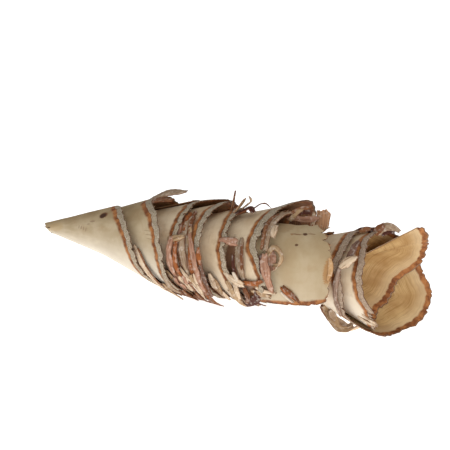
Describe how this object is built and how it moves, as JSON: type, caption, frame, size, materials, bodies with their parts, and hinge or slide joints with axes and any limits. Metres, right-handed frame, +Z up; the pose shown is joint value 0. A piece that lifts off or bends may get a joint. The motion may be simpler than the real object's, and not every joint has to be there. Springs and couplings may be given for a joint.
{
  "type": "nested roll of bark-edged wood shavings",
  "caption": "Long pointed roll of thin cone-shaped wood shavings nested in each other, each edged with bark, open at the wide end.",
  "frame": {"origin": "middle of the bounding box at its base, on the floor that the roll lies on", "axes": "+X along the roll from its pointed tip to its open mouth, +Z up, -Y the side that faces the viewer of the picture"},
  "size_m": [0.3118, 0.0866, 0.0847],
  "materials": {
    "tip_wood": "matt",
    "band_wood": "matt",
    "arch_wood": "matt",
    "face_wood": "matt",
    "mouth_wood": "matt"
  },
  "bodies": {
    "root": {"shaving_1_tip": "tip_wood", "shaving_2_bands": "band_wood", "shaving_3_arch": "arch_wood", "shaving_4_face": "face_wood", "shaving_5_mouth": "mouth_wood"}
  },
  "joints": []
}
